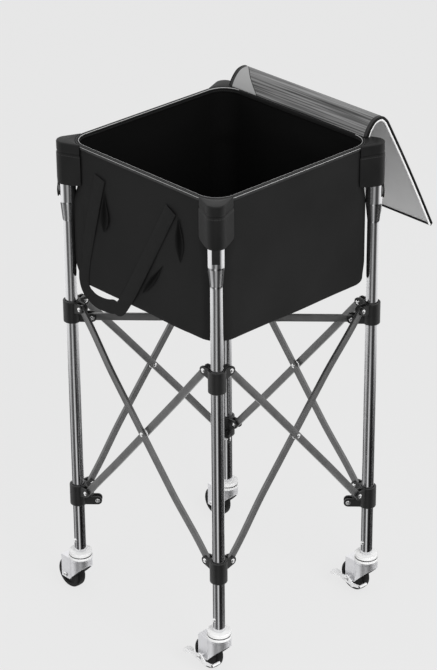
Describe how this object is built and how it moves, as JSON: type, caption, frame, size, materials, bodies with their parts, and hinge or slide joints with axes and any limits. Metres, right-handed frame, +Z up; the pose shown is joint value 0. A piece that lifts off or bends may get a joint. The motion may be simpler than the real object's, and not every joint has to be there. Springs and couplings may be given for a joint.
{
  "type": "ball cart",
  "caption": "Folding ball cart: a square fabric bag on four scissor-braced tube legs with swivel casters, and a fabric lid thrown open.",
  "frame": {"origin": "bottom centre of the bounding box, on the floor", "axes": "+Z up; the lid opens over the +Y side; the casters trail towards -X"},
  "size_m": [0.4472, 0.5658, 0.9295],
  "materials": {
    "leg_metal": "bright polished tube",
    "bar_metal": "satin flat strip",
    "black_plastic": "moulded nylon, fine grain",
    "white_nylon": "smooth",
    "zinc": "bright zinc plate",
    "bright_steel": "polished",
    "wheel_rubber": "smooth tread",
    "bag_fabric": "woven polyester",
    "strap_webbing": "ribbed webbing",
    "lid_mesh": "grey woven fabric with black binding"
  },
  "bodies": {
    "leg_left": {"leg_tube_left": "leg_metal", "caster_stem_left": "white_nylon", "lower_collar_left": "black_plastic", "corner_pocket_left": "bag_fabric", "bag_wall_left": "bag_fabric", "handle_strap": "strap_webbing"},
    "leg_front": {"leg_tube_front": "leg_metal", "caster_stem_front": "white_nylon", "lower_collar_front": "black_plastic", "corner_pocket_front": "bag_fabric", "bag_wall_front_right": "bag_fabric"},
    "leg_right": {"leg_tube_right": "leg_metal", "caster_stem_right": "white_nylon", "lower_collar_right": "black_plastic", "corner_pocket_right": "bag_fabric"},
    "leg_back": {"leg_tube_back": "leg_metal", "caster_stem_back": "white_nylon", "lower_collar_back": "black_plastic", "corner_pocket_back": "bag_fabric", "bag_wall_back_right": "bag_fabric"},
    "slide_collar_left": {"upper_collar_left": "black_plastic"},
    "slide_collar_front": {"upper_collar_front": "black_plastic"},
    "slide_collar_right": {"upper_collar_right": "black_plastic"},
    "slide_collar_back": {"upper_collar_back": "black_plastic"},
    "rising_front_left": {"scissor_rising_front_left": "bar_metal"},
    "falling_front_left": {"scissor_falling_front_left": "bar_metal", "scissor_spacer_front_left": "white_nylon"},
    "rising_front_right": {"scissor_rising_front_right": "bar_metal"},
    "falling_front_right": {"scissor_falling_front_right": "bar_metal", "scissor_spacer_front_right": "white_nylon"},
    "rising_back_right": {"scissor_rising_back_right": "bar_metal"},
    "falling_back_right": {"scissor_falling_back_right": "bar_metal", "scissor_spacer_back_right": "white_nylon"},
    "rising_back_left": {"scissor_rising_back_left": "bar_metal"},
    "falling_back_left": {"scissor_falling_back_left": "bar_metal", "scissor_spacer_back_left": "white_nylon"},
    "brace_left": {"brace_arm_left": "bar_metal"},
    "floor_left": {"bag_floor_left": "bag_fabric"},
    "brace_right": {"brace_arm_right": "bar_metal"},
    "floor_right": {"bag_floor_right": "bag_fabric"},
    "lid_band": {"lid_band": "lid_mesh"},
    "lid_panel": {"lid_panel": "lid_mesh"},
    "caster_left": {"caster_fork_left": "zinc", "caster_axle_left": "bright_steel"},
    "wheel_left": {"caster_wheel_left": "wheel_rubber"},
    "button_left": {"snap_button_left": "bright_steel"},
    "caster_front": {"caster_fork_front": "zinc", "caster_axle_front": "bright_steel"},
    "wheel_front": {"caster_wheel_front": "wheel_rubber"},
    "button_front": {"snap_button_front": "bright_steel"},
    "caster_right": {"caster_fork_right": "zinc", "caster_axle_right": "bright_steel"},
    "wheel_right": {"caster_wheel_right": "wheel_rubber"},
    "button_right": {"snap_button_right": "bright_steel"},
    "caster_back": {"caster_fork_back": "zinc", "caster_axle_back": "bright_steel"},
    "wheel_back": {"caster_wheel_back": "wheel_rubber"},
    "button_back": {"snap_button_back": "bright_steel"},
    "brake_front": {"caster_brake_front": "zinc"},
    "brake_right": {"caster_brake_right": "zinc"}
  },
  "joints": [
    {"name": "fold", "type": "hinge", "parent": "leg_left", "child": "rising_front_left", "pos_m": [-0.14138, -0.25633, 0.219], "axis": [0, -1, 0], "range_deg": [0, 34.6], "deforming": ["bag_wall_left", "bag_wall_front_right", "bag_wall_back_right", "bag_floor_left", "bag_floor_right", "lid_band", "lid_panel", "handle_strap"]},
    {"name": "cross_front_left", "type": "hinge", "parent": "rising_front_left", "child": "falling_front_left", "pos_m": [0.01662, -0.25633, 0.404], "axis": [0, -1, 0], "range_deg": [-69.34, 0]},
    {"name": "front_leg_pivot", "type": "hinge", "parent": "falling_front_left", "child": "leg_front", "pos_m": [0.17462, -0.25633, 0.219], "axis": [0, -1, 0], "range_deg": [0, 34.67]},
    {"name": "front_collar_pivot", "type": "hinge", "parent": "rising_front_left", "child": "slide_collar_front", "pos_m": [0.17462, -0.25633, 0.589], "axis": [0, -1, 0], "range_deg": [-34.67, 0]},
    {"name": "left_collar_pivot", "type": "hinge", "parent": "falling_front_left", "child": "slide_collar_left", "pos_m": [-0.14138, -0.25633, 0.589], "axis": [0, -1, 0], "range_deg": [0, 34.67]},
    {"name": "rising_front_right_pivot", "type": "hinge", "parent": "leg_front", "child": "rising_front_right", "pos_m": [0.20162, -0.22934, 0.219], "axis": [1, 0, 0], "range_deg": [0, 34.67]},
    {"name": "cross_front_right", "type": "hinge", "parent": "rising_front_right", "child": "falling_front_right", "pos_m": [0.20162, -0.07133, 0.404], "axis": [1, 0, 0], "range_deg": [-69.34, 0]},
    {"name": "right_leg_pivot", "type": "hinge", "parent": "falling_front_right", "child": "leg_right", "pos_m": [0.20162, 0.08667, 0.219], "axis": [1, 0, 0], "range_deg": [0, 34.67]},
    {"name": "right_collar_pivot", "type": "hinge", "parent": "rising_front_right", "child": "slide_collar_right", "pos_m": [0.20162, 0.08667, 0.589], "axis": [1, 0, 0], "range_deg": [-34.67, 0]},
    {"name": "falling_back_left_pivot", "type": "hinge", "parent": "leg_left", "child": "falling_back_left", "pos_m": [-0.16838, -0.22934, 0.219], "axis": [-1, 0, 0], "range_deg": [-34.67, 0]},
    {"name": "cross_back_left", "type": "hinge", "parent": "falling_back_left", "child": "rising_back_left", "pos_m": [-0.16838, -0.07133, 0.404], "axis": [-1, 0, 0], "range_deg": [0, 69.34]},
    {"name": "back_leg_pivot", "type": "hinge", "parent": "rising_back_left", "child": "leg_back", "pos_m": [-0.16838, 0.08667, 0.219], "axis": [-1, 0, 0], "range_deg": [-34.67, 0]},
    {"name": "back_collar_pivot", "type": "hinge", "parent": "falling_back_left", "child": "slide_collar_back", "pos_m": [-0.16838, 0.08667, 0.589], "axis": [-1, 0, 0], "range_deg": [0, 34.67]},
    {"name": "falling_back_right_pivot", "type": "hinge", "parent": "leg_back", "child": "falling_back_right", "pos_m": [-0.14138, 0.11367, 0.219], "axis": [0, 1, 0], "range_deg": [-34.67, 0]},
    {"name": "cross_back_right", "type": "hinge", "parent": "falling_back_right", "child": "rising_back_right", "pos_m": [0.01662, 0.11367, 0.404], "axis": [0, 1, 0], "range_deg": [0, 69.34]},
    {"name": "brace_left_pivot", "type": "hinge", "parent": "slide_collar_left", "child": "brace_left", "pos_m": [-0.14363, -0.23159, 0.565], "axis": [-0.7071, 0.7071, 0], "range_deg": [0, 80.37]},
    {"name": "brace_right_pivot", "type": "hinge", "parent": "slide_collar_right", "child": "brace_right", "pos_m": [0.17688, 0.08892, 0.565], "axis": [0.7071, -0.7071, 0], "range_deg": [0, 80.37]},
    {"name": "floor_left_fold", "type": "hinge", "parent": "leg_left", "child": "floor_left", "pos_m": [-0.16508, -0.07133, 0.6415], "axis": [0, -1, 0], "range_deg": [0, 74.6]},
    {"name": "floor_right_fold", "type": "hinge", "parent": "leg_front", "child": "floor_right", "pos_m": [0.19832, -0.07133, 0.6415], "axis": [0, 1, 0], "range_deg": [0, 74.6]},
    {"name": "lid_band_hinge", "type": "hinge", "parent": "leg_back", "child": "lid_band", "pos_m": [0.01662, 0.11217, 0.9023], "axis": [1, 0, 0], "range_deg": [0, 100]},
    {"name": "lid_panel_hinge", "type": "hinge", "parent": "lid_band", "child": "lid_panel", "pos_m": [0.01662, 0.16417, 0.9103], "axis": [1, 0, 0], "range_deg": [0, 150]},
    {"name": "swivel_left", "type": "hinge", "parent": "leg_left", "child": "caster_left", "pos_m": [-0.16838, -0.25633, 0.069], "axis": [0, 0, 1], "continuous": true},
    {"name": "spin_left", "type": "hinge", "parent": "caster_left", "child": "wheel_left", "pos_m": [-0.19438, -0.25633, 0.02925], "axis": [0, 1, 0], "continuous": true},
    {"name": "swivel_front", "type": "hinge", "parent": "leg_front", "child": "caster_front", "pos_m": [0.20162, -0.25633, 0.069], "axis": [0, 0, 1], "continuous": true},
    {"name": "spin_front", "type": "hinge", "parent": "caster_front", "child": "wheel_front", "pos_m": [0.17562, -0.25633, 0.02925], "axis": [0, 1, 0], "continuous": true},
    {"name": "swivel_right", "type": "hinge", "parent": "leg_right", "child": "caster_right", "pos_m": [0.20162, 0.11367, 0.069], "axis": [0, 0, 1], "continuous": true},
    {"name": "spin_right", "type": "hinge", "parent": "caster_right", "child": "wheel_right", "pos_m": [0.17562, 0.11367, 0.02925], "axis": [0, 1, 0], "continuous": true},
    {"name": "swivel_back", "type": "hinge", "parent": "leg_back", "child": "caster_back", "pos_m": [-0.16838, 0.11367, 0.069], "axis": [0, 0, 1], "continuous": true},
    {"name": "spin_back", "type": "hinge", "parent": "caster_back", "child": "wheel_back", "pos_m": [-0.19438, 0.11367, 0.02925], "axis": [0, 1, 0], "continuous": true},
    {"name": "brake_front_pedal", "type": "hinge", "parent": "caster_front", "child": "brake_front", "pos_m": [0.17562, -0.25633, 0.02925], "axis": [0, 1, 0], "range_deg": [0, 10]},
    {"name": "brake_right_pedal", "type": "hinge", "parent": "caster_right", "child": "brake_right", "pos_m": [0.17562, 0.11367, 0.02925], "axis": [0, 1, 0], "range_deg": [0, 10]},
    {"name": "button_left_press", "type": "slide", "parent": "leg_left", "child": "button_left", "axis": [0, 1, 0], "range_m": [0, 0.003], "stiffness_N_per_m": 600, "springref_m": -0.001},
    {"name": "button_front_press", "type": "slide", "parent": "leg_front", "child": "button_front", "axis": [0, 1, 0], "range_m": [0, 0.003], "stiffness_N_per_m": 600, "springref_m": -0.001},
    {"name": "button_right_press", "type": "slide", "parent": "leg_right", "child": "button_right", "axis": [0, 1, 0], "range_m": [0, 0.003], "stiffness_N_per_m": 600, "springref_m": -0.001},
    {"name": "button_back_press", "type": "slide", "parent": "leg_back", "child": "button_back", "axis": [0, 1, 0], "range_m": [0, 0.003], "stiffness_N_per_m": 600, "springref_m": -0.001}
  ],
  "couplings": [
    {"joint": "cross_front_left", "follows": "fold", "ratio": -2},
    {"joint": "front_leg_pivot", "follows": "fold", "ratio": 1},
    {"joint": "front_collar_pivot", "follows": "fold", "ratio": -1},
    {"joint": "left_collar_pivot", "follows": "fold", "ratio": 1},
    {"joint": "rising_front_right_pivot", "follows": "fold", "ratio": 1},
    {"joint": "cross_front_right", "follows": "fold", "ratio": -2},
    {"joint": "right_leg_pivot", "follows": "fold", "ratio": 1},
    {"joint": "right_collar_pivot", "follows": "fold", "ratio": -1},
    {"joint": "falling_back_left_pivot", "follows": "fold", "ratio": -1},
    {"joint": "cross_back_left", "follows": "fold", "ratio": 2},
    {"joint": "back_leg_pivot", "follows": "fold", "ratio": -1},
    {"joint": "back_collar_pivot", "follows": "fold", "ratio": 1},
    {"joint": "falling_back_right_pivot", "follows": "fold", "ratio": -1},
    {"joint": "cross_back_right", "follows": "fold", "ratio": 2},
    {"joint": "brace_left_pivot", "follows": "fold", "ratio": 2.3182},
    {"joint": "brace_right_pivot", "follows": "fold", "ratio": 2.3182},
    {"joint": "floor_left_fold", "follows": "fold", "ratio": 2.1518},
    {"joint": "floor_right_fold", "follows": "fold", "ratio": 2.1518}
  ]
}
